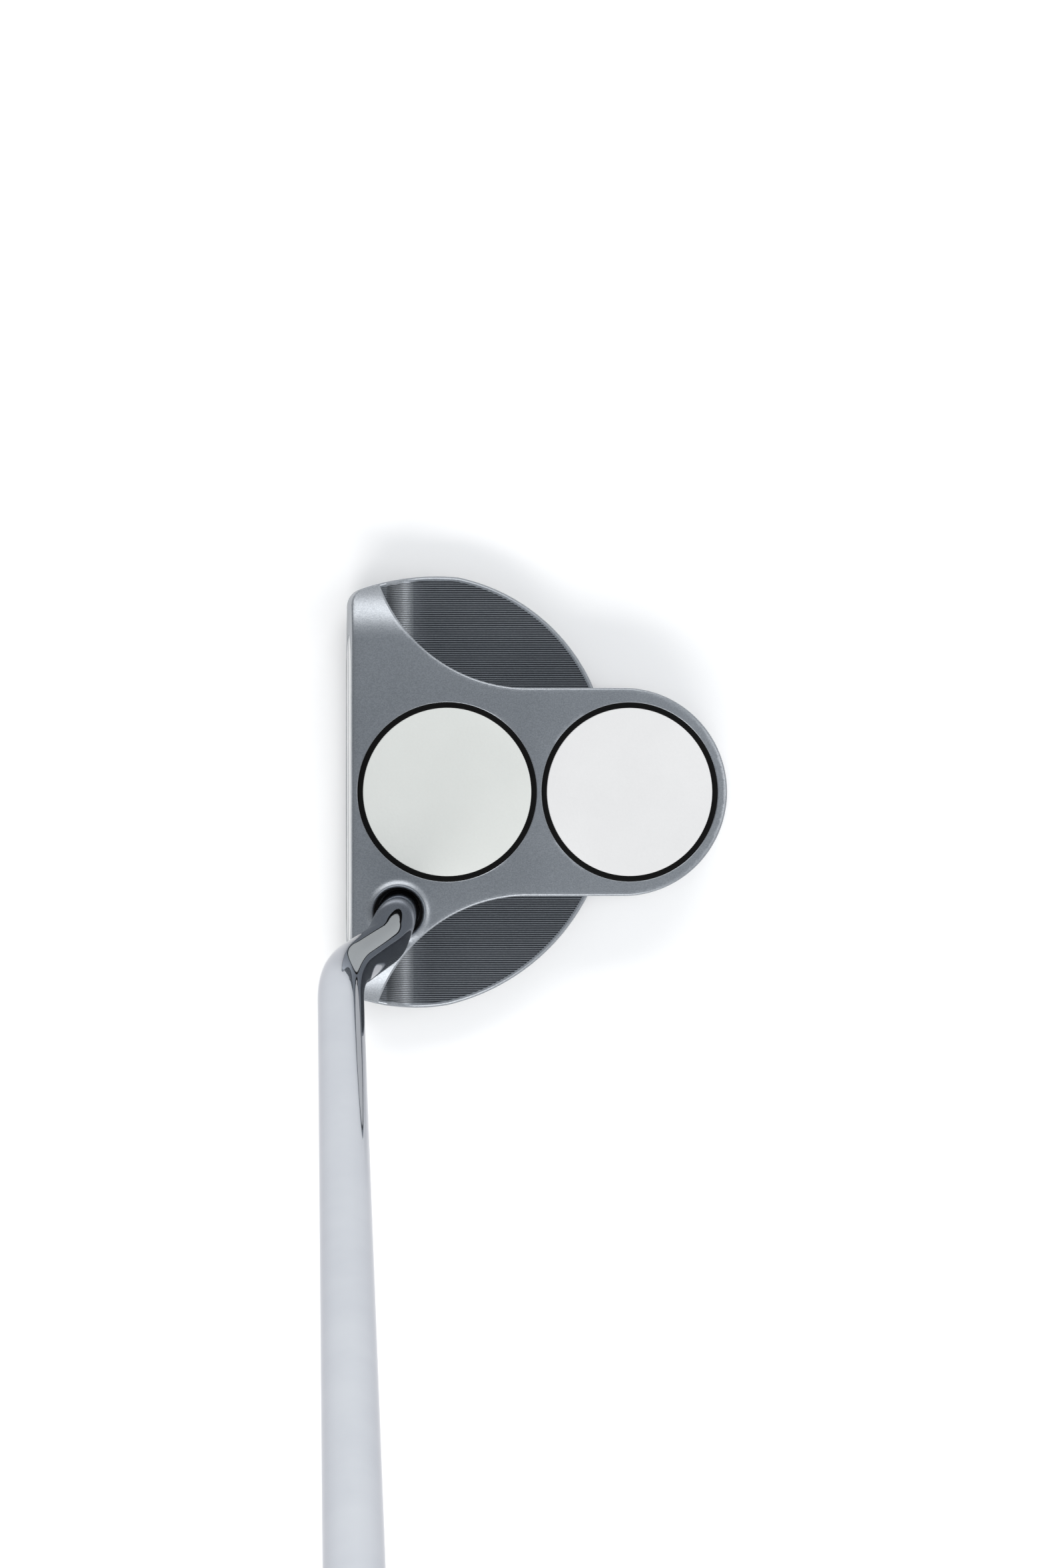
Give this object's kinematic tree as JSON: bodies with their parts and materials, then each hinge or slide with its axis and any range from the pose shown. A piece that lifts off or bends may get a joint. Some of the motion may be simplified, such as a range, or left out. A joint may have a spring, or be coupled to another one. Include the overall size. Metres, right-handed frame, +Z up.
{
  "type": "mallet putter",
  "caption": "Right-handed mallet putter: satin metal head with sunk ribbed wings and white alignment discs, double-bend chrome shaft, rubber grip.",
  "frame": {"origin": "on the ground, at the flat of the sole straight below the middle of the front disc, with the club in its address pose", "axes": "+X from the striking face to the back of the head, +Y from heel to toe, +Z up; the shaft leans to the heel side, -Y"},
  "size_m": [0.1077, 0.3567, 0.8151],
  "materials": {
    "satin_aluminium": "fine bead-blasted satin, blue-grey",
    "white_urethane": "smooth matte white",
    "adhesive": "cured clear adhesive",
    "white_disc": "very fine leathery texture",
    "black_ring": "smooth black",
    "brushed_sole": "brushed from heel to toe",
    "screw_steel": "plain steel",
    "weight_steel": "turned steel",
    "chrome": "polished chrome plating",
    "tape": "double-sided grip tape",
    "grip_rubber": "moulded matte black rubber"
  },
  "bodies": {
    "club": {"head_body": "satin_aluminium", "face_insert": "white_urethane", "insert_adhesive": "adhesive", "front_disc": "white_disc", "front_disc_ring": "black_ring", "front_disc_pad": "adhesive", "rear_disc": "white_disc", "rear_disc_ring": "black_ring", "rear_disc_pad": "adhesive", "sole_plate": "brushed_sole", "sole_plate_screws": "screw_steel", "shaft": "chrome", "shaft_epoxy": "adhesive", "hosel_ring": "black_ring", "grip_tape": "tape", "grip": "grip_rubber", "grip_cap": "grip_rubber"},
    "seal_heel": {"weight_seal_heel": "black_ring"},
    "weight_heel": {"sole_weight_heel": "weight_steel"},
    "seal_toe": {"weight_seal_toe": "black_ring"},
    "weight_toe": {"sole_weight_toe": "weight_steel"}
  },
  "joints": [
    {"name": "heel_travel", "type": "slide", "parent": "club", "child": "seal_heel", "axis": [0, 0, -1], "range_m": [0, 0.005]},
    {"name": "heel_turn", "type": "hinge", "parent": "seal_heel", "child": "weight_heel", "pos_m": [-0.0125, -0.0395, 0.005], "axis": [0, 0, -1], "range_deg": [0, 1800]},
    {"name": "toe_travel", "type": "slide", "parent": "club", "child": "seal_toe", "axis": [0, 0, -1], "range_m": [0, 0.005]},
    {"name": "toe_turn", "type": "hinge", "parent": "seal_toe", "child": "weight_toe", "pos_m": [-0.0125, 0.0395, 0.005], "axis": [0, 0, -1], "range_deg": [0, 1800]}
  ],
  "couplings": [
    {"joint": "heel_turn", "follows": "heel_travel", "rad_per_m": 6283.2},
    {"joint": "toe_turn", "follows": "toe_travel", "rad_per_m": 6283.2}
  ]
}
